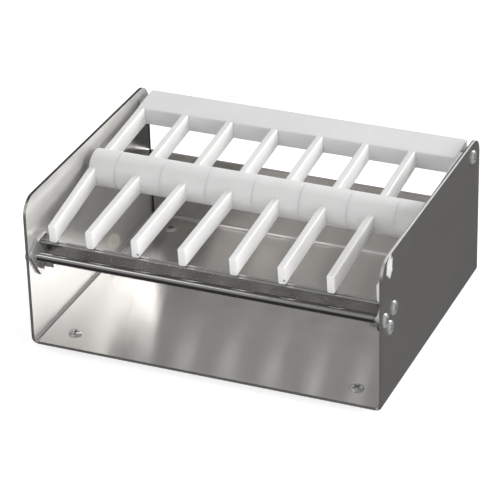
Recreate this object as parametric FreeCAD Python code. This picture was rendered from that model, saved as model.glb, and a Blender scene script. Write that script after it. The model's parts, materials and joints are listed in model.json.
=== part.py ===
import FreeCAD, Part
import math
import os

# Seven-lane counting tray: a folded stainless box, open at the front and top,
# with a hinged plastic divider rack lying in it and a guide rod across the front.
# Millimetres, +X right, +Y to the rear, +Z up. Z = 0 is the underside of the feet.

# --- folded tray -------------------------------------------------------------
width = 240.0
depth = 187.0
side_height = 103.0
rear_height = 52.0
sheet = 2.0
bend_inner = 2.5
corner_round = 12.0
rear_seam_gap = 0.4

# --- feet --------------------------------------------------------------------
foot_height = 5.0
foot_radius = 8.0
foot_x = 97.0
foot_y = 76.0
foot_pocket_radius = 4.6
foot_pocket_depth = 3.4

# --- M4 hardware -------------------------------------------------------------
m4_radius = 2.0
m4_hole = 2.2
m4_tapped = 2.05
head_radius = 4.7
head_height = 1.4
head_edge_round = 1.0
recess_length = 5.0
recess_width = 0.95
recess_depth = 0.8
nut_flats = 7.0
nut_height = 3.2
foot_screw_length = 6.0
bar_screw_length = 10.0
clamp_screw_length = 13.0
rod_screw_length = 14.2
pivot_screw_length = 21.0

# --- tilted front brackets, bar and rod --------------------------------------
# Bracket frame: origin on the rod axis, turned about X, first axis rearward and
# up across the bar, second axis up along the bar's face.
bracket_tilt = 33.0
rod_y = -88.5
rod_z = 62.2
bracket_sheet = 2.0
bracket_front = -3.85
bracket_back = 19.5
bracket_top = 5.8
bracket_bottom = -21.0
bracket_round = 4.0
bracket_clip_v = -1.5
bracket_clip_w = -0.6
clamp_hole = (2.1, -12.7)
bar_hole = (13.5, -8.2)
bar_front = 9.1
bar_thick = 3.0
bar_top = 2.1
bar_bottom = -18.0
hem_groove_width = 0.6
hem_groove_depth = 1.0
bar_block = 6.0
bar_block_back = 18.0
bar_block_top = -1.5
bar_block_bottom = -13.0
rod_radius = 3.0
rod_bore_depth = 11.0
rod_end_gap = 2.2
running_clearance = 0.06

# --- divider rack ------------------------------------------------------------
# Rack frame: origin under the dividers' front edges, turned about X, first axis
# along the dividers to the rear, second axis up through their height.
rack_tilt = 5.6
rack_y = -82.1
rack_z = 70.5
lanes = 7
first_left = -112.9
lane_pitch = 32.2
divider_thick = 5.0
divider_height = 12.7
hub_v = 81.6
hub_w = 6.4
hub_radius = 12.4
hub_chamfer = 0.15
hub_bore = 3.2
end_pocket_radius = 6.4
end_pocket_depth = 7.0
rear_bar_front = 149.5
rear_bar_depth = 24.6
tail_length = 8.0
front_lean = (4.8, -1.6, -2.3, -2.4, 0.0, 0.0, 0.0, 0.0)
lean_start = 69.0
edge_round = 1.0
bar_edge_round = 1.0

# --- rack hardware -----------------------------------------------------------
tie_radius = 3.0
tie_nut_flats = 10.0
tie_nut_height = 4.0
tie_washer_radius = 6.0
tie_washer_thick = 1.2
pivot_v = 163.4
pivot_w = 6.4
bush_outer = 3.5
bush_length = 16.0
bush_fit = 0.02
m3_radius = 1.5
m3_head_radius = 2.75
m3_head_height = 2.0
m3_screw_length = 34.0
m3_counterbore_radius = 3.1
m3_counterbore_depth = 3.0
dowel_in_blade = 10.0
dowel_in_bar = 8.0
tail_screw_length = 14.0
tail_screw_w = 9.0
tail_screw_inset = 4.0

half_width = width / 2.0
half_depth = depth / 2.0
inner_x = half_width - sheet
floor_z = foot_height
bracket_inner = inner_x - bracket_sheet
rod_half = bracket_inner - rod_end_gap
rack_right = first_left + lanes * lane_pitch
rear_bar_back = rear_bar_front + rear_bar_depth
x_axis = FreeCAD.Vector(1, 0, 0)
y_axis = FreeCAD.Vector(0, 1, 0)
z_axis = FreeCAD.Vector(0, 0, 1)
origin = FreeCAD.Vector(0, 0, 0)


def box(x0, x1, y0, y1, z0, z1):
    """Box between two opposite corners."""
    return Part.makeBox(x1 - x0, y1 - y0, z1 - z0, FreeCAD.Vector(x0, y0, z0))


def cylinder_x(x0, x1, y, z, radius):
    """Cylinder along X between two planes."""
    start = FreeCAD.Vector(min(x0, x1), y, z)
    return Part.makeCylinder(radius, abs(x1 - x0), start, x_axis)


def cylinder_z(x, y, z0, z1, radius):
    """Upright cylinder."""
    return Part.makeCylinder(radius, z1 - z0, FreeCAD.Vector(x, y, z0), z_axis)


def prism(points, direction):
    """Solid swept from a closed polygon."""
    wire = Part.makePolygon(points + [points[0]])
    return Part.Face(wire).extrude(direction)


def round_edges(shape, radius, wanted):
    """Round the straight edges that the test picks."""
    edges = [edge for edge in shape.Edges if wanted(edge)]
    return shape.makeFillet(radius, edges)


def runs_along(edge, axis):
    """True for an edge parallel to the axis."""
    direction = edge.Vertexes[-1].Point.sub(edge.Vertexes[0].Point)
    return direction.Length > 0 and abs(direction.normalize().dot(axis)) > 0.999


def place(shape, tilt, y, z):
    """Turn a shape about X and move it to its frame's origin."""
    shape = shape.copy()
    shape.rotate(origin, x_axis, tilt)
    shape.translate(FreeCAD.Vector(0, y, z))
    return shape


def rack_place(shape):
    """Rack frame to tray frame."""
    return place(shape, rack_tilt, rack_y, rack_z + foot_height)


def bracket_place(shape):
    """Bracket frame to tray frame."""
    return place(shape, bracket_tilt, rod_y, rod_z + foot_height)


def mirrored(shape):
    """The same piece on the other side of the tray."""
    return shape.mirror(origin, x_axis)


def hex_prism(flats, height):
    """Hexagon of the given width across flats, standing on Z = 0."""
    radius = flats / math.sqrt(3.0)
    points = []
    for step in range(6):
        angle = math.radians(60 * step)
        points.append(FreeCAD.Vector(radius * math.cos(angle), radius * math.sin(angle), 0))
    return prism(points, FreeCAD.Vector(0, 0, height))


def nut(flats, height, bore):
    """Hexagon nut standing on Z = 0 with its outer corners turned off."""
    body = hex_prism(flats, height)
    corner = flats / math.sqrt(3.0)
    cone_low = Part.makeCone(flats / 2.0, flats / 2.0 + height, height)
    cone_high = Part.makeCone(flats / 2.0 + height, flats / 2.0, height)
    body = body.common(cone_low).common(cone_high)
    body = body.common(Part.makeCylinder(corner, height))
    return body.cut(Part.makeCylinder(bore, height))


def ring(outer, inner, height):
    """Flat washer or sleeve standing on Z = 0."""
    return Part.makeCylinder(outer, height).cut(Part.makeCylinder(inner, height))


def screw(length, radius, top_radius, top_height, top_round):
    """Cross-recess screw along Z, head above Z = 0 and shank below it."""
    head = Part.makeCylinder(top_radius, top_height)
    rim = [edge for edge in head.Edges
           if edge.Closed and edge.BoundBox.ZMin > top_height / 2.0]
    head = head.makeFillet(top_round, rim)
    half = recess_length / 2.0 * top_radius / head_radius
    slot = recess_width / 2.0
    low = top_height - recess_depth
    recess = box(-half, half, -slot, slot, low, top_height)
    recess = recess.fuse(box(-slot, slot, -half, half, low, top_height))
    shank = cylinder_z(0, 0, -length, 0, radius)
    return head.cut(recess).fuse(shank).removeSplitter()


def m4_screw(length):
    """The tray's wide-headed M4 screw."""
    return screw(length, m4_radius, head_radius, head_height, head_edge_round)


def along_x(shape, x, y, z):
    """Point a Z-built part along +X and stand its base at x, y, z."""
    shape = shape.copy()
    shape.rotate(origin, y_axis, 90)
    shape.translate(FreeCAD.Vector(x, y, z))
    return shape


def bracket_point(across, up):
    """Bracket frame coordinates to tray Y and Z."""
    angle = math.radians(bracket_tilt)
    y = rod_y + across * math.cos(angle) - up * math.sin(angle)
    z = rod_z + foot_height + across * math.sin(angle) + up * math.cos(angle)
    return y, z


def rack_point(along, up):
    """Rack frame coordinates to tray Y and Z."""
    angle = math.radians(rack_tilt)
    y = rack_y + along * math.cos(angle) - up * math.sin(angle)
    z = rack_z + foot_height + along * math.sin(angle) + up * math.cos(angle)
    return y, z


def side_plate():
    """Right side of the tray above its bend, with rounded top corners."""
    plate = box(inner_x, half_width, -half_depth, half_depth,
                floor_z + sheet + bend_inner, floor_z + side_height)
    plate = round_edges(plate, corner_round,
                        lambda e: runs_along(e, x_axis) and e.BoundBox.ZMin > floor_z + rear_height
                        and e.BoundBox.YLength < 0.1)
    holes = [bracket_point(0, 0), bracket_point(*clamp_hole),
             bracket_point(*bar_hole), rack_point(pivot_v, pivot_w)]
    for y, z in holes:
        plate = plate.cut(cylinder_x(inner_x, half_width, y, z, m4_hole))
    return plate


def side_bend():
    """Quarter-round fold between the floor and the right side."""
    outer = bend_inner + sheet
    x = half_width - outer
    z = floor_z + outer
    ring_shape = Part.makeCylinder(outer, depth, FreeCAD.Vector(x, -half_depth, z), y_axis)
    ring_shape = ring_shape.cut(
        Part.makeCylinder(bend_inner, depth, FreeCAD.Vector(x, -half_depth, z), y_axis))
    quarter = box(x, half_width, -half_depth, half_depth, floor_z, z)
    return ring_shape.common(quarter)


def rear_wall():
    """Low rear wall folded up from the floor between the sides."""
    outer = bend_inner + sheet
    reach = inner_x - rear_seam_gap
    y = half_depth - outer
    z = floor_z + outer
    start = FreeCAD.Vector(-reach, y, z)
    fold = Part.makeCylinder(outer, 2 * reach, start, x_axis)
    fold = fold.cut(Part.makeCylinder(bend_inner, 2 * reach, start, x_axis))
    fold = fold.common(box(-reach, reach, y, half_depth, floor_z, z))
    wall = box(-reach, reach, half_depth - sheet, half_depth, z, floor_z + rear_height)
    return fold.fuse(wall)


def tray_shell():
    """The whole folded sheet: floor, two sides and rear wall."""
    outer = bend_inner + sheet
    floor_x = half_width - outer
    shell = box(-floor_x, floor_x, -half_depth, half_depth - outer, floor_z, floor_z + sheet)
    for piece in (side_bend(), side_plate()):
        shell = shell.fuse(piece).fuse(mirrored(piece))
    shell = shell.fuse(rear_wall())
    for x in (-foot_x, foot_x):
        for y in (-foot_y, foot_y):
            shell = shell.cut(cylinder_z(x, y, floor_z, floor_z + sheet, m4_hole))
    return shell.removeSplitter()


def foot(x, y):
    """Round rubber foot with a nut pocket in its underside."""
    body = cylinder_z(x, y, 0, foot_height, foot_radius)
    rim = [edge for edge in body.Edges if edge.Closed and edge.BoundBox.ZMax < 0.1]
    body = body.makeChamfer(0.8, rim)
    body = body.cut(cylinder_z(x, y, 0, foot_pocket_depth, foot_pocket_radius))
    return body.cut(cylinder_z(x, y, 0, foot_height, m4_hole))


def bracket():
    """Right front bracket: tilted plate with three holes, clipped under the rack."""
    plate = box(bracket_inner, inner_x, bracket_front, bracket_back,
                bracket_bottom, bracket_top)
    plate = round_edges(plate, bracket_round, lambda e: runs_along(e, x_axis))
    holes = [((0, 0), m4_tapped), (clamp_hole, m4_hole), (bar_hole, m4_hole)]
    for (across, up), radius in holes:
        plate = plate.cut(cylinder_x(bracket_inner, inner_x, across, up, radius))
    above = box(bracket_inner, inner_x, bracket_clip_v, bracket_clip_v + 4 * bracket_back,
                bracket_clip_w, bracket_clip_w + bracket_back)
    return bracket_place(plate).cut(rack_place(above))


def front_bar():
    """Tilted stop bar with a hem line on its top edge and tapped end blocks."""
    strip = box(-bracket_inner, bracket_inner, bar_front, bar_front + bar_thick,
                bar_bottom, bar_top)
    middle = bar_front + bar_thick / 2.0
    groove = box(-bracket_inner, bracket_inner, middle - hem_groove_width / 2.0,
                 middle + hem_groove_width / 2.0, bar_top - hem_groove_depth, bar_top)
    strip = strip.cut(groove)
    block = box(bracket_inner - bar_block, bracket_inner, bar_front + bar_thick / 2.0,
                bar_block_back, bar_block_bottom, bar_block_top)
    across, up = bar_hole
    drill = cylinder_x(bracket_inner - bar_block, bracket_inner, across, up, m4_tapped)
    strip = strip.fuse(block).fuse(mirrored(block))
    strip = strip.cut(drill).cut(mirrored(drill))
    return bracket_place(strip.removeSplitter())


def guide_rod():
    """Round rod across the front, bored at both ends for its screws."""
    y, z = bracket_point(0, 0)
    rod = cylinder_x(-rod_half, rod_half, y, z, rod_radius)
    rims = [edge for edge in rod.Edges if edge.Closed]
    rod = rod.makeChamfer(0.4, rims)
    bore = cylinder_x(rod_half - rod_bore_depth, rod_half, y, z, m4_radius + running_clearance)
    return rod.cut(bore).cut(mirrored(bore))


def side_pair(shape, x, point):
    """Two copies of a part that points outward, one through each side."""
    y, z = point
    right = along_x(shape, x, y, z)
    return [right, mirrored(right)]


def lane_left(index):
    """Left face of a divider."""
    return first_left + index * lane_pitch


def blade(index):
    """Flat divider blade; the blades on the left are bent sideways ahead of the hubs."""
    left = lane_left(index)
    right = left + divider_thick
    lean = front_lean[index]
    end = rear_bar_front + (tail_length if index == lanes else 0.0)
    outline = [(left, 0), (right, 0), (right, end), (left, end)]
    if lean:
        outline = [(left + lean, 0), (right + lean, 0), (right, lean_start),
                   (right, end), (left, end), (left, lean_start)]
    points = [FreeCAD.Vector(x, y, 0) for x, y in outline]
    body = prism(points, FreeCAD.Vector(0, 0, divider_height))
    return round_edges(body, edge_round,
                       lambda e: e.BoundBox.ZLength < 0.1 and e.BoundBox.YLength > divider_thick
                       and e.BoundBox.YMax < end + 0.1)


def hub(index):
    """Round boss that fills the row from lane centre to lane centre."""
    middle = lane_left(index) + divider_thick / 2.0
    low = middle - lane_pitch / 2.0 if index else lane_left(0)
    high = middle + lane_pitch / 2.0 if index < lanes else rack_right + divider_thick
    body = cylinder_x(low, high, hub_v, hub_w, hub_radius)
    rims = [edge for edge in body.Edges if edge.Closed]
    return body.makeChamfer(hub_chamfer, rims), low, high


def divider(index):
    """One moulded divider: blade, hub and the holes through them."""
    boss, low, high = hub(index)
    body = blade(index).fuse(boss)
    body = body.cut(cylinder_x(low, high, hub_v, hub_w, hub_bore))
    if index == 0:
        body = body.cut(cylinder_x(low, low + end_pocket_depth, hub_v, hub_w, end_pocket_radius))
        body = body.cut(dowel(m3_radius + bush_fit))
    elif index < lanes:
        body = body.cut(divider_drill(index, m3_radius + bush_fit))
    else:
        body = body.cut(cylinder_x(high - end_pocket_depth, high, hub_v, hub_w, end_pocket_radius))
        body = body.cut(tail_drill(m3_radius + 0.1, rack_right, high))
        body = body.cut(tail_drill(m3_counterbore_radius, high - m3_head_height - 0.3, high))
    return body.removeSplitter()


def dowel(radius):
    """Pin on the first divider's middle, half in its blade and half in the bar."""
    x = lane_left(0) + divider_thick / 2.0
    start = FreeCAD.Vector(x, rear_bar_front - dowel_in_blade, hub_w)
    return Part.makeCylinder(radius, dowel_in_blade + dowel_in_bar, start, y_axis)


def divider_drill(index, radius):
    """Hole along a divider's middle for its fixing screw."""
    x = lane_left(index) + divider_thick / 2.0
    start = FreeCAD.Vector(x, rear_bar_back - m3_counterbore_depth - m3_screw_length - 0.5, hub_w)
    return Part.makeCylinder(radius, m3_screw_length + 0.5 + m3_counterbore_depth, start, y_axis)


def tail_drill(radius, x0, x1):
    """Sideways hole through the last divider's tail into the rear bar."""
    return cylinder_x(x0, x1, rear_bar_front + tail_screw_inset, tail_screw_w, radius)


def rear_bar():
    """Rectangular bar that the dividers end on, bored for bushes and screws."""
    bar = box(first_left, rack_right, rear_bar_front, rear_bar_back, 0, divider_height)
    bar = round_edges(bar, bar_edge_round, lambda e: runs_along(e, x_axis))
    for x0, x1 in ((first_left, first_left + bush_length), (rack_right - bush_length, rack_right)):
        bar = bar.cut(cylinder_x(x0, x1, pivot_v, pivot_w, bush_outer + bush_fit))
    bar = bar.cut(dowel(m3_radius + bush_fit))
    for index in range(1, lanes):
        x = lane_left(index) + divider_thick / 2.0
        bar = bar.cut(divider_drill(index, m3_radius + 0.1))
        start = FreeCAD.Vector(x, rear_bar_back - m3_counterbore_depth, hub_w)
        bar = bar.cut(Part.makeCylinder(m3_counterbore_radius, m3_counterbore_depth, start, y_axis))
    return bar.cut(tail_drill(m3_radius + bush_fit, rack_right - tail_screw_length, rack_right))


def divider_screws():
    """M3 screws through the rear bar into the middle dividers' ends."""
    part = screw(m3_screw_length, m3_radius, m3_head_radius, m3_head_height, 0.8)
    part.rotate(origin, x_axis, -90)
    solids = []
    for index in range(1, lanes):
        copy = part.copy()
        x = lane_left(index) + divider_thick / 2.0
        copy.translate(FreeCAD.Vector(x, rear_bar_back - m3_counterbore_depth, hub_w))
        solids.append(copy)
    return Part.makeCompound(solids)


def tail_screw():
    """Short M3 screw that holds the last divider's tail to the rear bar."""
    part = screw(tail_screw_length, m3_radius, m3_head_radius, m3_head_height, 0.8)
    x = rack_right + divider_thick - m3_head_height - 0.3
    return along_x(part, x, rear_bar_front + tail_screw_inset, tail_screw_w)


def tie_ends():
    """Planes of the two pocket floors that the tie rod's washers sit on."""
    left = first_left + end_pocket_depth
    right = rack_right + divider_thick - end_pocket_depth
    return left, right


def tie_rod():
    """Steel rod that strings the eight hubs together."""
    left, right = tie_ends()
    reach = tie_washer_thick + tie_nut_height + 0.8
    return cylinder_x(left - reach, right + reach, hub_v, hub_w, tie_radius)


def tie_stack(part, offset, thickness):
    """A part on both ends of the tie rod, outside the pocket floors."""
    left, right = tie_ends()
    high = along_x(part, right + offset, hub_v, hub_w)
    low = along_x(part, left - offset - thickness, hub_v, hub_w)
    return Part.makeCompound([low, high])


def pivot_bushes():
    """Steel sleeves in the rear bar's ends that turn on the pivot screws."""
    sleeve = ring(bush_outer, m4_radius + running_clearance, bush_length)
    low = along_x(sleeve, first_left, pivot_v, pivot_w)
    high = along_x(sleeve, rack_right - bush_length, pivot_v, pivot_w)
    return Part.makeCompound([low, high])


def hex_nuts():
    """All M4 nuts: bracket clamps, pivots and feet."""
    part = nut(nut_flats, nut_height, m4_tapped)
    solids = side_pair(part, bracket_inner - nut_height, bracket_point(*clamp_hole))
    solids += side_pair(part, inner_x - nut_height, rack_point(pivot_v, pivot_w))
    for x in (-foot_x, foot_x):
        for y in (-foot_y, foot_y):
            copy = part.copy()
            copy.translate(FreeCAD.Vector(x, y, foot_pocket_depth - nut_height))
            solids.append(copy)
    return Part.makeCompound(solids)


def foot_screws():
    """Four screws down through the floor into the feet."""
    solids = []
    for x in (-foot_x, foot_x):
        for y in (-foot_y, foot_y):
            part = m4_screw(foot_screw_length)
            part.translate(FreeCAD.Vector(x, y, floor_z + sheet))
            solids.append(part)
    return Part.makeCompound(solids)


def side_screws(length, point):
    """One screw inward through each side of the tray."""
    return Part.makeCompound(side_pair(m4_screw(length), half_width, point))


def build():
    """Every node of the tray by name."""
    right_bracket = bracket()
    tie_nut = nut(tie_nut_flats, tie_nut_height, tie_radius + 0.05)
    tie_washer = ring(tie_washer_radius, hub_bore, tie_washer_thick)
    nodes = {
        "tray_shell": tray_shell(),
        "bracket_left": mirrored(right_bracket),
        "bracket_right": right_bracket,
        "front_bar": front_bar(),
        "guide_rod": guide_rod(),
        "rod_screws": side_screws(rod_screw_length, bracket_point(0, 0)),
        "clamp_screws": side_screws(clamp_screw_length, bracket_point(*clamp_hole)),
        "bar_screws": side_screws(bar_screw_length, bracket_point(*bar_hole)),
        "pivot_screws": side_screws(pivot_screw_length, rack_point(pivot_v, pivot_w)),
        "foot_screws": foot_screws(),
        "hex_nuts": hex_nuts(),
        "foot_front_left": foot(-foot_x, -foot_y),
        "foot_front_right": foot(foot_x, -foot_y),
        "foot_rear_left": foot(-foot_x, foot_y),
        "foot_rear_right": foot(foot_x, foot_y),
        "rear_bar": rack_place(rear_bar()),
        "divider_screws": rack_place(divider_screws()),
        "dowel_pin": rack_place(dowel(m3_radius)),
        "tail_screw": rack_place(tail_screw()),
        "tie_rod": rack_place(tie_rod()),
        "tie_washers": rack_place(tie_stack(tie_washer, 0.0, tie_washer_thick)),
        "tie_nuts": rack_place(tie_stack(tie_nut, tie_washer_thick, tie_nut_height)),
        "pivot_bushes": rack_place(pivot_bushes()),
    }
    for index in range(lanes + 1):
        nodes["divider_%d" % (index + 1)] = rack_place(divider(index))
    return nodes


os.makedirs("parts", exist_ok=True)
for name, shape in build().items():
    shape.exportStep("parts/%s.step" % name)
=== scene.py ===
import json
import math

import bmesh
import bpy
from mathutils import Matrix, Vector

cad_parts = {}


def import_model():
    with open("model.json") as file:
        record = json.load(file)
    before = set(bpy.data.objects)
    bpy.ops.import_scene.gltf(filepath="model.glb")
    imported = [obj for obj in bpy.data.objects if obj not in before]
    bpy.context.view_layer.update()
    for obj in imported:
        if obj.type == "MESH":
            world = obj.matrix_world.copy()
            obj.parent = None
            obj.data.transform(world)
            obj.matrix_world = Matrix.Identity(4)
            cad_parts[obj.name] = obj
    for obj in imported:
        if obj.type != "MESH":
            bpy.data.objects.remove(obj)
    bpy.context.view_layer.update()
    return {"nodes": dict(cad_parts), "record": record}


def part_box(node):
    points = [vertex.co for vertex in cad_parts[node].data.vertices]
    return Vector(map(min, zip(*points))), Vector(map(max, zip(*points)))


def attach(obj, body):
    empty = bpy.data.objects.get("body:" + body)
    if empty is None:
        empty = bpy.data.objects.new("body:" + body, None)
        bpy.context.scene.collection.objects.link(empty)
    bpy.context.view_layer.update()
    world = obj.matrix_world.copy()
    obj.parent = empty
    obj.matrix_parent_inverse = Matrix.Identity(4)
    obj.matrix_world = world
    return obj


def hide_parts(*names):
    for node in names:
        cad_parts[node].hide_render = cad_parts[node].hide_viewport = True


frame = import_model()
nodes = frame["nodes"]
record = frame["record"]

MM = 0.001
BODY_OF = {node: body for body, members in record["behaviour"]["bodies"].items() for node in members}
SLOT_OF = {part["node"]: part["material_slot"] for part in record["subparts"]}

# The folded shell: its outer faces, and the upper face of its floor.
SHEET = 2.0 * MM
SHELL_LOW, SHELL_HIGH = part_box("tray_shell")
SIDE = SHELL_HIGH.x
FRONT, REAR = SHELL_LOW.y, SHELL_HIGH.y
TOP = SHELL_HIGH.z
FLOOR = SHELL_LOW.z + SHEET
SIDES_FROM = SIDE - 10.0 * MM

# M4 screws with wide low heads.
HEAD_RADIUS = 4.7 * MM
HEAD_HEIGHT = 1.4 * MM
SHANK_RADIUS = 2.0 * MM
THREAD_PITCH = 0.7 * MM
THREAD_DEPTH = 0.32 * MM
RINGS_PER_PITCH = 5
SCREW_FACETS = 40
# Head profile, as shares of its radius and height.
HEAD_PROFILE = ((1.0, 0.0), (1.0, 0.12), (0.985, 0.34), (0.93, 0.60), (0.83, 0.79), (0.68, 0.92),
                (0.45, 0.985), (0.2, 1.0))
RECESS_REACH = 2.9 * MM
RECESS_WAIST = 0.52 * MM


# --- node graph helpers --------------------------------------------------------

class Graph:
    """A material's or world's node tree, with short calls to add and link nodes."""

    def __init__(self, tree):
        self.tree = tree
        self.tree.nodes.clear()

    def add(self, kind, inputs=None, **settings):
        node = self.tree.nodes.new(kind)
        for name, value in settings.items():
            setattr(node, name, value)
        for name, value in (inputs or {}).items():
            self.put(node.inputs[name], value)
        return node

    def put(self, socket, value):
        if isinstance(value, bpy.types.NodeSocket):
            self.tree.links.new(value, socket)
        else:
            socket.default_value = value

    def math(self, operation, a, b=0.0, clamp=False):
        node = self.add("ShaderNodeMath", {0: a, 1: b}, operation=operation)
        node.use_clamp = clamp
        return node.outputs[0]

    def chain(self, operation, first, *others):
        for other in others:
            first = self.math(operation, first, other)
        return first

    def total(self, *values):
        return self.chain("ADD", *values)

    def product(self, *values):
        return self.chain("MULTIPLY", *values)

    def most(self, *values):
        return self.chain("MAXIMUM", *values)

    def scaled(self, value, centre, gain):
        """The value's distance from its centre, times a gain."""
        return self.product(self.math("SUBTRACT", value, centre), gain)

    def place(self, output="Object"):
        return self.add("ShaderNodeTexCoord").outputs[output]

    def split(self, vector):
        return self.add("ShaderNodeSeparateXYZ", {0: vector}).outputs

    def facing(self, axis):
        """One component of the surface normal."""
        return self.split(self.place("Normal"))[axis]

    def dot(self, vector, direction):
        return self.add("ShaderNodeVectorMath", {0: vector, 1: direction},
                        operation="DOT_PRODUCT").outputs["Value"]

    def distance(self, vector, point):
        return self.add("ShaderNodeVectorMath", {0: vector, 1: point},
                        operation="DISTANCE").outputs["Value"]

    def reach(self, across, up):
        """Length of a flat vector with these two components."""
        return self.math("SQRT", self.total(self.product(across, across), self.product(up, up)))

    def noise(self, where, scale, detail=2.0, rough=0.5, stretch=(1, 1, 1), shift=(0, 0, 0)):
        spot = self.add("ShaderNodeMapping", {"Vector": where, "Scale": stretch, "Location": shift})
        return self.add("ShaderNodeTexNoise", {"Vector": spot.outputs[0], "Scale": scale,
                                               "Detail": detail, "Roughness": rough}).outputs["Fac"]

    def step(self, value, low, high, out_low=0.0, out_high=1.0):
        return self.add("ShaderNodeMapRange", {"Value": value, "From Min": low, "From Max": high,
                                               "To Min": out_low, "To Max": out_high},
                        interpolation_type="SMOOTHSTEP").outputs["Result"]

    def between(self, value, low, high, soft):
        """One inside the span from low to high, falling to zero over a soft rim."""
        return self.product(self.step(value, low, low + soft), self.step(value, high, high - soft))

    def mix(self, factor, a, b):
        node = self.add("ShaderNodeMix", {"Factor": factor}, data_type="RGBA")
        colours = [socket for socket in node.inputs if socket.type == "RGBA"]
        self.put(colours[0], a)
        self.put(colours[1], b)
        return [socket for socket in node.outputs if socket.type == "RGBA"][0]

    def blend(self, factor, a, b):
        node = self.add("ShaderNodeMix", {"Factor": factor, "A": a, "B": b}, data_type="FLOAT")
        return node.outputs["Result"]

    def relief(self, height, strength, depth):
        return self.add("ShaderNodeBump", {"Height": height, "Strength": strength,
                                           "Distance": depth}).outputs[0]

    def surface(self, **inputs):
        named = {name.replace("_", " "): value for name, value in inputs.items()}
        shader = self.add("ShaderNodeBsdfPrincipled", named)
        self.add("ShaderNodeOutputMaterial", {"Surface": shader.outputs[0]})


def rgb(colour, gain=1.0):
    return tuple(min(channel * gain, 1.0) for channel in colour) + (1.0,)


def new_material(name):
    material = bpy.data.materials.new(name)
    material.use_nodes = True
    return material, Graph(material.node_tree)


# --- folded sheet ----------------------------------------------------------------

STEEL = (0.68, 0.664, 0.645)
# Worn bare steel, also used for the painted highlight along the right side's top edge.
BARE_AND_HIGHLIGHT = (0.90, 0.90, 0.89)
SHADOW = (0.06, 0.058, 0.055)
# Painted shade along the side folds.
FOLD_SHADE = (0.33, 0.325, 0.32)
# Painted shade at the rear of the left side's inner face.
REAR_SHADE = (0.22, 0.215, 0.21)
# Painted light: a lighter colour for the left side's inner face.
INNER_LIGHTENED = (0.86, 0.85, 0.835)
# Painted reflection: the pale oval on the left side's inner face.
GLINT = (0.98, 0.94, 0.86)


def sheet_grain(g, where):
    """Brushing of the folded blank: along X on the floor and rear wall, up Z on the sides."""
    across = g.noise(where, 1300.0, 3.0, 0.65, (0.012, 1.0, 0.012))
    wall = g.noise(where, 1300.0, 3.0, 0.65, (0.012, 0.05, 1.0))
    faces_rear = g.step(g.math("ABSOLUTE", g.facing("Y")), 0.5, 0.8)
    return g.blend(faces_rear, across, wall)


def worn_patch(g, where):
    """Ground spot on the right side's outer face, by its front top corner."""
    parts = g.split(where)
    ragged = g.scaled(g.noise(where, 320.0, 3.0, 0.65), 0.5, 7.5 * MM)
    across = g.scaled(parts["Y"], FRONT + 13.0 * MM, 1.15)
    up = g.scaled(parts["Z"], TOP - 7.8 * MM, 0.80)
    inside = g.step(g.math("ADD", g.reach(across, up), ragged), 6.8 * MM, 4.7 * MM)
    outer = g.math("GREATER_THAN", parts["X"], SIDE - 0.5 * MM)
    streaks = g.step(g.noise(where, 900.0, 2.0, 0.6, (1.0, 1.0, 0.25)), 0.30, 0.60, 0.70, 1.0)
    return g.product(inside, streaks, outer)


def fold_crease_shade(g, where):
    """Darker, duller line along the two side folds: painted shade in the crease."""
    parts = g.split(where)
    inside = g.between(g.math("ABSOLUTE", parts["X"]), SIDE - 4.4 * MM, SIDE - 2.4 * MM, 0.5 * MM)
    return g.product(inside, g.step(parts["Z"], FLOOR + 2.6 * MM, FLOOR + 2.0 * MM))


def seam_shade(g, where):
    """Dark line up the two rear corners, where the rear wall meets the sides: painted shade of the gap
    there.
    """
    parts = g.split(where)
    inside = g.between(g.math("ABSOLUTE", parts["X"]), SIDE - 3.4 * MM, SIDE - 1.4 * MM, 0.3 * MM)
    return g.product(inside, g.step(parts["Y"], REAR - 2.9 * MM, REAR - 2.5 * MM))


def top_edge(g, where, side, low, high):
    """Upper edge of one side (side is 1 on the right and -1 on the left)."""
    parts = g.split(where)
    upward = g.step(g.facing("Z"), low, high)
    beside = g.math("GREATER_THAN", g.product(parts["X"], side), SIDES_FROM)
    return g.product(upward, beside, g.math("GREATER_THAN", parts["Z"], TOP - 28.0 * MM))


def right_rim(g, where):
    """Top edge of the right side: its outer half with a painted highlight, and its inner half with painted
    shade, stronger towards the rear.
    """
    parts = g.split(where)
    rim = top_edge(g, where, 1.0, 0.80, 0.92)
    inner = g.product(g.step(parts["X"], SIDE - 1.0 * MM, SIDE - 1.4 * MM),
                      g.step(parts["Y"], -20.0 * MM, 30.0 * MM, 0.35, 0.85))
    return g.product(rim, g.math("SUBTRACT", 1.0, inner)), g.product(rim, inner)


def left_fold_shade(g, where):
    """Band of the floor beside the left fold, painted darker: painted shade."""
    parts = g.split(where)
    return g.product(g.step(parts["X"], 40.0 * MM - SIDE, 7.0 * MM - SIDE),
                     g.step(parts["Z"], FLOOR + 7.0 * MM, FLOOR + 3.0 * MM))


def left_inside(g, where):
    """Inner face of the left side: where it is made duller and painted lighter (painted light), and its
    rear part, painted darker (painted shade).
    """
    facing = g.step(g.facing("X"), 0.4, 0.8)
    parts = g.split(where)
    inner = g.product(facing, g.math("LESS_THAN", parts["X"], -SIDES_FROM))
    rear = g.product(g.step(parts["Y"], REAR - 57.5 * MM, REAR - 27.5 * MM),
                     g.between(parts["Z"], FLOOR + 39.0 * MM, TOP - 16.0 * MM, 16.0 * MM))
    return g.product(inner, g.math("SUBTRACT", 1.0, rear)), g.product(inner, rear)


def glint_spot(g, where):
    """Pale oval low on the left side's inner face, sloping down to the rear: a painted reflection, with a
    duller finish.
    """
    parts = g.split(where)
    along = g.math("SUBTRACT", parts["Y"], 28.5 * MM)
    up = g.total(parts["Z"], -FLOOR - 11.0 * MM, g.product(along, 0.40))
    inner = g.between(parts["X"], 1.0 * MM - SIDE, -SIDES_FROM, 0.4 * MM)
    oval = g.reach(g.product(along, 0.58), up)
    return g.product(g.step(oval, 8.2 * MM, 4.0 * MM), inner)


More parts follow.
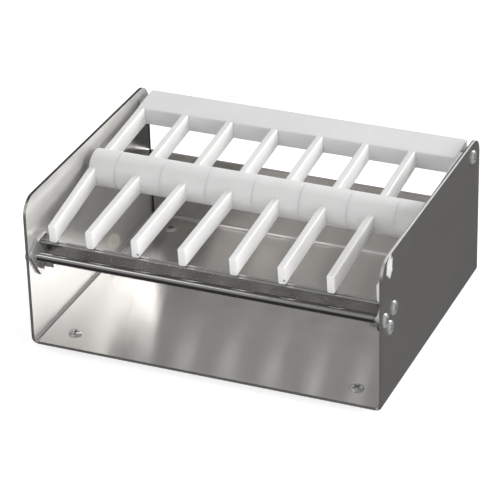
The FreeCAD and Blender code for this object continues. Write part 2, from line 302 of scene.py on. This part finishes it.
def sheet_marks(g, where, tone):
    """The sheet's colour with its wear and its painted highlights, reflection and shade, and masks for
    where it is rougher and how dull it is.
    """
    rim, rim_painted_shade = right_rim(g, where)
    # Worn patch, and the painted highlight along the right side's top edge.
    worn_and_painted_light = g.most(g.product(worn_patch(g, where), 0.8), rim)
    # Painted shade: the left side's top edge, the inner half of the right side's top edge and the rear
    # corner seams.
    dark = g.most(g.product(top_edge(g, where, -1.0, 0.35, 0.75), 0.8), rim_painted_shade, seam_shade(g, where))
    # Painted shade along the side folds.
    fold = fold_crease_shade(g, where)
    # Painted light on the left side's inner face, and painted shade at its rear.
    inner_lightened, rear_shade = left_inside(g, where)
    # Painted reflection on the left side's inner face.
    spot = glint_spot(g, where)
    shade = g.mix(tone, rgb(STEEL, 0.84), rgb(STEEL, 1.14))
    # Layers in turn: worn steel and the painted highlight on the right rim, painted shade, painted shade
    # along the folds, painted shade at the rear of the left inner face, painted light on the left inner
    # face, and a painted reflection.
    layers = ((worn_and_painted_light, 1.0, BARE_AND_HIGHLIGHT), (dark, 1.0, SHADOW), (fold, 0.9, FOLD_SHADE), (rear_shade, 0.5, REAR_SHADE),
              (inner_lightened, 0.45, INNER_LIGHTENED), (spot, 0.9, GLINT))
    for mask, strength, colour in layers:
        shade = g.mix(g.product(mask, strength), shade, rgb(colour))
    worn_and_painted_light = g.most(worn_and_painted_light, fold)
    return shade, worn_and_painted_light, g.most(worn_and_painted_light, spot, g.product(inner_lightened, 0.6))


def shell_steel():
    """Folded stainless sheet: brushed grain, handling clouds, short scratches, a worn patch, and painted
    highlights, reflection and shade.
    """
    material, g = new_material("shell_steel")
    where = g.place()
    grain = sheet_grain(g, where)
    cloud = g.noise(where, 24.0, 3.0, 0.55)
    smear = g.noise(where, 60.0, 2.0, 0.5, (0.25, 1.0, 0.5), (0.3, 0.1, 0.7))
    scratch = g.step(g.noise(where, 420.0, 1.0, 0.5, (0.05, 1.0, 0.16)), 0.70, 0.78)
    # The band of floor beside the left fold is painted shade.
    tone = g.total(g.product(left_fold_shade(g, where), -0.5), g.scaled(grain, 0.5, 0.20),
                   g.scaled(cloud, 0.5, 0.52), g.scaled(smear, 0.5, 0.32), g.product(scratch, 0.06))
    shade, worn_and_painted_light, dull = sheet_marks(g, where, g.math("ADD", tone, 0.5, True))
    rough = g.total(g.scaled(cloud, 0.5, 0.12), g.scaled(grain, 0.5, 0.06), g.product(scratch, 0.03), 0.20)
    tangent = g.add("ShaderNodeCombineXYZ", {"X": 0.0, "Y": 1.0, "Z": 0.15}).outputs[0]
    g.surface(Base_Color=shade, Metallic=g.math("SUBTRACT", 0.93, g.product(dull, 0.70)),
              Roughness=g.blend(worn_and_painted_light, rough, 0.62), Anisotropic=0.93, Tangent=tangent,
              Normal=g.relief(g.total(grain, g.product(scratch, -0.6)), 0.08, 0.03 * MM))
    return material


# --- small steel, plastic and rubber ---------------------------------------------

def turned_steel(name, colour, rough, stretch=(1.0, 1.0, 1.0), metal=1.0, cavity=0.0, under=0.0):
    """Small steel parts: fine tool marks, soft clouds and a little grime.

    Cavity is how far a recess's walls reach for the painted shade inside it, and under is how much painted
    shade darkens the faces that look down.
    """
    material, g = new_material(name)
    where = g.place()
    grain = g.noise(where, 1400.0, 3.0, 0.6, stretch)
    cloud = g.noise(where, 70.0, 3.0, 0.55)
    grime = g.step(g.noise(where, 300.0, 2.0, 0.6), 0.60, 0.78)
    tone = g.total(g.scaled(grain, 0.5, 0.4), g.scaled(cloud, 0.5, 0.5), g.product(grime, -0.25))
    shade = g.mix(g.math("ADD", tone, 0.5, True), rgb(colour, 0.72), rgb(colour, 1.18))
    # Painted shade in recesses, from ambient occlusion.
    if cavity:
        clear = g.add("ShaderNodeAmbientOcclusion", {"Distance": cavity}, samples=8, only_local=True)
        shade = g.mix(g.step(clear.outputs["AO"], 0.56, 0.94), rgb(colour, 0.16), shade)
    # Painted shade on the faces that look down.
    if under:
        shade = g.mix(g.step(g.facing("Z"), -0.15, -0.45, 0.0, under), shade, rgb(colour, 0.2))
    g.surface(Base_Color=shade, Metallic=metal, Normal=g.relief(grain, 0.25, 0.03 * MM),
              Roughness=g.total(g.scaled(cloud, 0.5, 0.14), g.product(grime, 0.12), rough))
    return material


def rack_plastic(name, colour, rough, glow, marks=()):
    """Off-white moulded plastic that lets a little light through."""
    material, g = new_material(name)
    where = g.place()
    cloud = g.noise(where, 34.0, 3.0, 0.5)
    flow = g.noise(where, 90.0, 2.0, 0.5, (1.0, 0.12, 1.0))
    fine = g.noise(where, 1100.0, 2.0, 0.6)
    scuff = g.step(g.noise(where, 520.0, 1.0, 0.5, (1.0, 0.06, 0.35)), 0.68, 0.78)
    tone = g.total(g.scaled(cloud, 0.5, 0.9), g.scaled(flow, 0.5, 0.5))
    shade = g.mix(g.math("ADD", tone, 0.5, True), rgb(colour, 0.955), rgb(colour, 1.02))
    shade = g.mix(g.product(scuff, 0.10), shade, rgb((0.62, 0.61, 0.60)))
    for mark in marks:
        near = g.step(g.distance(where, Vector(mark) * MM), 1.2 * MM, 0.5 * MM)
        shade = g.mix(g.product(near, 0.75), shade, rgb((0.16, 0.15, 0.14)))
    g.surface(Base_Color=shade, Subsurface_Weight=0.5, Subsurface_Radius=(1.0, 0.95, 0.9),
              Subsurface_Scale=glow, IOR=1.5,
              Normal=g.relief(g.total(fine, g.product(scuff, -0.5)), 0.12, 0.05 * MM),
              Roughness=g.total(g.scaled(cloud, 0.5, 0.2), g.product(scuff, 0.1), rough))
    return material


def foot_rubber():
    """Matt black rubber with a moulded skin and dust."""
    material, g = new_material("foot_rubber")
    where = g.place()
    fine = g.noise(where, 1500.0, 2.0, 0.6)
    dust = g.step(g.noise(where, 160.0, 3.0, 0.6), 0.5, 0.8)
    shade = g.mix(fine, rgb((0.018, 0.018, 0.019)), rgb((0.04, 0.04, 0.042)))
    shade = g.mix(g.product(dust, 0.3), shade, rgb((0.12, 0.115, 0.11)))
    g.surface(Base_Color=shade, Roughness=g.step(fine, 0.3, 0.7, 0.6, 0.8),
              Normal=g.relief(fine, 0.3, 0.1 * MM))
    return material


# Small dark marks low on the front faces of two dividers, in millimetres.
MARKS = ((-46.6, -82.35, 77.8), (52.1, -82.35, 78.3))
ALONG_X = (0.015, 1.0, 1.0)
ALONG_Z = (1.0, 1.0, 0.03)
FINISH = {
    "shell_steel": shell_steel(),
    "bracket_steel": turned_steel("bracket_steel", (0.66, 0.655, 0.64), 0.30, ALONG_Z, 0.6, under=0.85),
    "bar_steel": turned_steel("bar_steel", (0.54, 0.535, 0.525), 0.22, ALONG_X),
    "rod_steel": turned_steel("rod_steel", (0.34, 0.335, 0.326), 0.13, ALONG_X),
    "screw_steel": turned_steel("screw_steel", (0.72, 0.715, 0.71), 0.24, metal=0.72, cavity=1.25 * MM),
    "nut_steel": turned_steel("nut_steel", (0.58, 0.58, 0.57), 0.30),
    "bush_steel": turned_steel("bush_steel", (0.60, 0.60, 0.59), 0.28),
    "inner_steel": turned_steel("inner_steel", (0.55, 0.55, 0.55), 0.30),
    "rack_plastic": rack_plastic("rack_plastic", (0.895, 0.895, 0.885), 0.45, 2.5 * MM, MARKS),
    "bar_plastic": rack_plastic("bar_plastic", (0.85, 0.853, 0.856), 0.5, 1.5 * MM),
    "foot_rubber": foot_rubber(),
}
for node, piece in nodes.items():
    piece.data.materials.clear()
    piece.data.materials.append(FINISH[SLOT_OF[node]])


# --- mesh pieces -----------------------------------------------------------------

def add_piece(name, mesh, node):
    """A mesh that stands for a CAD node, with the node's body and finish."""
    mesh.materials.clear()
    mesh.materials.append(FINISH[SLOT_OF[node]])
    mesh.polygons.foreach_set("use_smooth", [True] * len(mesh.polygons))
    mesh.set_sharp_from_angle(angle=math.radians(42))
    piece = bpy.data.objects.new(name, mesh)
    bpy.context.scene.collection.objects.link(piece)
    piece.modifiers.new("even_normals", "WEIGHTED_NORMAL").keep_sharp = True
    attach(piece, BODY_OF[node])
    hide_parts(node)


def mesh_from(build, name):
    mesh = bpy.data.meshes.new(name)
    build.to_mesh(mesh)
    build.free()
    return mesh


def softened(node, width, limit=35):
    """The node's own shape, cleaned to plain faces, with its sharp edges rounded."""
    build = bmesh.new()
    build.from_mesh(nodes[node].data)
    bmesh.ops.remove_doubles(build, verts=build.verts, dist=0.002 * MM)
    bmesh.ops.dissolve_limit(build, angle_limit=math.radians(0.4),
                             verts=build.verts, edges=build.edges)
    sharp = [edge for edge in build.edges
             if edge.is_manifold and edge.calc_face_angle() > math.radians(limit)]
    bmesh.ops.bevel(build, geom=sharp, offset=width, offset_type="OFFSET", segments=2,
                    profile=0.5, affect="EDGES", clamp_overlap=True)
    bmesh.ops.recalc_face_normals(build, faces=build.faces)
    return build


def ring_of(build, radius_at, height):
    ring = []
    for index in range(SCREW_FACETS):
        angle = 2 * math.pi * index / SCREW_FACETS
        radius = radius_at(angle, height)
        ring.append(build.verts.new((radius * math.cos(angle), radius * math.sin(angle), height)))
    return ring


def revolve(build, rings):
    """Closed skin over rings of equal count, capped by one face at each end."""
    for low, high in zip(rings, rings[1:]):
        for index in range(len(low)):
            after = (index + 1) % len(low)
            build.faces.new((low[index], low[after], high[after], high[index]))
    build.faces.new(tuple(reversed(rings[0])))
    build.faces.new(tuple(rings[-1]))


def screw_body(length, thread_start):
    """Wide low head above Z = 0 and a shank below it, threaded from thread_start down."""
    def shank(angle, height):
        below = -height - thread_start
        fade = min(max(below / THREAD_PITCH, 0.0), 1.0)
        phase = (height / THREAD_PITCH - angle / (2 * math.pi)) % 1.0
        ridge = 1.0 - abs(2.0 * phase - 1.0)
        tip = max(0.0, 0.5 * MM - (length + height)) * 0.9
        return SHANK_RADIUS - fade * THREAD_DEPTH * (1.0 - ridge) - tip

    build = bmesh.new()
    steps = int(length / (THREAD_PITCH / RINGS_PER_PITCH))
    rings = [ring_of(build, shank, -length + length * step / steps) for step in range(steps + 1)]
    for across, up in HEAD_PROFILE:
        rings.append(ring_of(build, lambda angle, height: HEAD_RADIUS * across, HEAD_HEIGHT * up))
    revolve(build, rings)
    return mesh_from(build, "screw_body")


def recess_tool():
    """Four tapering wings of a cross recess, as one closed cutter."""
    build = bmesh.new()
    outline = []
    for turn in range(4):
        quarter = Matrix.Rotation(math.pi / 2 * turn, 3, "Z")
        for x, y in ((RECESS_WAIST, -RECESS_WAIST), (RECESS_REACH, -RECESS_WAIST),
                     (RECESS_REACH, RECESS_WAIST)):
            outline.append(quarter @ Vector((x, y, 0)))
    rings = []
    for height, size in ((HEAD_HEIGHT * 0.15, 0.62), (HEAD_HEIGHT * 1.2, 1.05)):
        rings.append([build.verts.new((p.x * size, p.y * max(size, 0.8), height)) for p in outline])
    revolve(build, rings)
    bmesh.ops.recalc_face_normals(build, faces=build.faces)
    return mesh_from(build, "recess_tool")


def cut(mesh, tool):
    """The first mesh with the second one taken out of it."""
    body = bpy.data.objects.new("cut_body", mesh)
    blade = bpy.data.objects.new("cut_tool", tool)
    for item in (body, blade):
        bpy.context.scene.collection.objects.link(item)
    step = body.modifiers.new("cut", "BOOLEAN")
    step.operation = "DIFFERENCE"
    step.solver = "EXACT"
    step.object = blade
    shown = body.evaluated_get(bpy.context.evaluated_depsgraph_get())
    result = bpy.data.meshes.new_from_object(shown)
    bpy.data.objects.remove(body)
    bpy.data.objects.remove(blade)
    return result


def side_places(node):
    """Where a pair of screws enters the tray's sides, from the CAD pair's box."""
    low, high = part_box(node)
    middle = (low + high) / 2
    places = []
    for side in (1, -1):
        seat = Vector((side * (high.x - HEAD_HEIGHT), middle.y, middle.z))
        places.append(Matrix.Translation(seat) @ Matrix.Rotation(side * math.pi / 2, 4, "Y"))
    return places


def foot_places(node):
    """Where the foot screws enter the tray's floor, one over each foot."""
    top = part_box(node)[1].z - HEAD_HEIGHT
    places = []
    for foot in ("foot_front_left", "foot_front_right", "foot_rear_left", "foot_rear_right"):
        low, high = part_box(foot)
        places.append(Matrix.Translation(((low.x + high.x) / 2, (low.y + high.y) / 2, top)))
    return places


def screws(node, length, thread_start, places):
    """One piece with a copy of the screw at each place, each turned a little differently."""
    screw = cut(screw_body(length, thread_start), recess_tool())
    build = bmesh.new()
    for number, place in enumerate(places):
        first = len(build.verts)
        build.from_mesh(screw)
        build.verts.ensure_lookup_table()
        turned = place @ Matrix.Rotation(math.radians(18 + 37 * number), 4, "Z")
        bmesh.ops.transform(build, matrix=turned, verts=build.verts[first:])
    add_piece(node + "_turned", mesh_from(build, node), node)


# Width of each softened edge, in millimetres.
EDGES = {"tray_shell": 0.22, "bracket_left": 0.3, "bracket_right": 0.3, "front_bar": 0.18,
         "guide_rod": 0.12, "rear_bar": 0.15, "hex_nuts": 0.1, "foot_front_left": 0.35,
         "foot_front_right": 0.35, "foot_rear_left": 0.35, "foot_rear_right": 0.35}
# Length under the head, length of plain shank, and where they go. A rod or pivot screw is plain.
SCREWS = {"bar_screws": (10.0, 2.0, side_places), "rod_screws": (14.2, 20.0, side_places),
          "clamp_screws": (13.0, 4.0, side_places), "pivot_screws": (21.0, 30.0, side_places),
          "foot_screws": (6.0, 1.0, foot_places)}
for node, width in EDGES.items():
    add_piece(node + "_finished", mesh_from(softened(node, width * MM), node), node)
for index in range(1, 9):
    node = "divider_%d" % index
    add_piece(node + "_moulded", mesh_from(softened(node, 0.1 * MM, 55), node), node)
for node, (length, plain, places) in SCREWS.items():
    screws(node, length * MM, plain * MM, places(node))


# --- studio ----------------------------------------------------------------------

def floor():
    """Plain white paper that glows a little, so shadows stay light."""
    build = bmesh.new()
    bmesh.ops.create_grid(build, x_segments=1, y_segments=1, size=20.0)
    sheet = bpy.data.objects.new("floor", mesh_from(build, "floor"))
    bpy.context.scene.collection.objects.link(sheet)
    material, g = new_material("floor_paper")
    fibre = g.noise(g.place(), 500.0, 2.0, 0.5)
    g.surface(Base_Color=g.mix(fibre, rgb((0.50, 0.50, 0.50)), rgb((0.53, 0.53, 0.53))),
              Roughness=0.9, Specular_IOR_Level=0.1, Emission_Color=rgb((1, 1, 1)),
              Emission_Strength=0.78)
    sheet.data.materials.append(material)
    sheet.visible_glossy = False


def world():
    """Studio that the steel mirrors: dark below, soft panels overhead and at the right rear."""
    place = bpy.data.worlds.new("studio")
    bpy.context.scene.world = place
    place.use_nodes = True
    g = Graph(place.node_tree)
    direction = g.place("Generated")
    up = g.split(direction)["Z"]
    level = g.step(up, -0.15, 0.10, 0.075, 0.28)
    overhead = g.step(up, 0.50, 0.90, 0.0, -0.12)
    right_rear = g.step(g.dot(direction, (0.36, 0.79, 0.50)), 0.92, 0.975, 0.0, 7.5)
    right_rear = g.product(right_rear, g.step(up, 0.34, 0.43))
    left_front = g.step(g.dot(direction, (-0.5, -0.6, 0.62)), 0.6, 0.95, 0.0, 0.4)
    shader = g.add("ShaderNodeBackground", {"Color": rgb((1, 1, 1)),
                                            "Strength": g.total(level, overhead, right_rear, left_front)})
    g.add("ShaderNodeOutputWorld", {"Surface": shader.outputs[0]})


def softbox(name, spot, size, power, mirrored):
    """Wide soft light, seen or not seen in the steel's reflections."""
    light = bpy.data.lights.new(name, "AREA")
    light.shape = "DISK"
    light.size = size
    light.energy = power
    lamp = bpy.data.objects.new(name, light)
    bpy.context.scene.collection.objects.link(lamp)
    lamp.location = spot
    lamp.rotation_euler = (-Vector(spot)).to_track_quat("-Z", "Y").to_euler()
    lamp.visible_glossy = mirrored


def camera(azimuth, elevation, roll, distance, target, lens):
    """Angles in degrees, azimuth 0 looking along +Y. Distance and target in metres, lens in mm."""
    azimuth, elevation, roll = (math.radians(angle) for angle in (azimuth, elevation, roll))
    back = Vector((math.sin(azimuth) * math.cos(elevation),
                   -math.cos(azimuth) * math.cos(elevation), math.sin(elevation)))
    right = (-back).cross(Vector((0, 0, 1))).normalized()
    up = right.cross(-back)
    side = math.cos(roll) * right + math.sin(roll) * up
    top = -math.sin(roll) * right + math.cos(roll) * up
    data = bpy.data.cameras.new("camera")
    data.sensor_width = 36.0
    data.lens = lens
    data.clip_end = 50.0
    view = bpy.data.objects.new("camera", data)
    bpy.context.scene.collection.objects.link(view)
    turn = Matrix((side, top, back)).transposed().to_4x4()
    view.matrix_world = Matrix.Translation(Vector(target) + back * distance) @ turn
    bpy.context.scene.camera = view


floor()
world()
softbox("strip_light", (-0.62, -0.74, 1.16), 0.4, 0.9, True)
softbox("left_light", (-1.2, -0.3, 1.0), 1.0, 0.5, False)
softbox("right_light", (1.45, -0.05, 0.45), 1.2, 21.0, False)
softbox("front_light", (0.2, -1.4, 0.6), 1.0, 1.7, False)
camera(23.132, 28.752, -1.479, 1.697534, (-0.005328, 0.0, 0.046556), 187.53)
bpy.context.scene.view_settings.view_transform = "Standard"
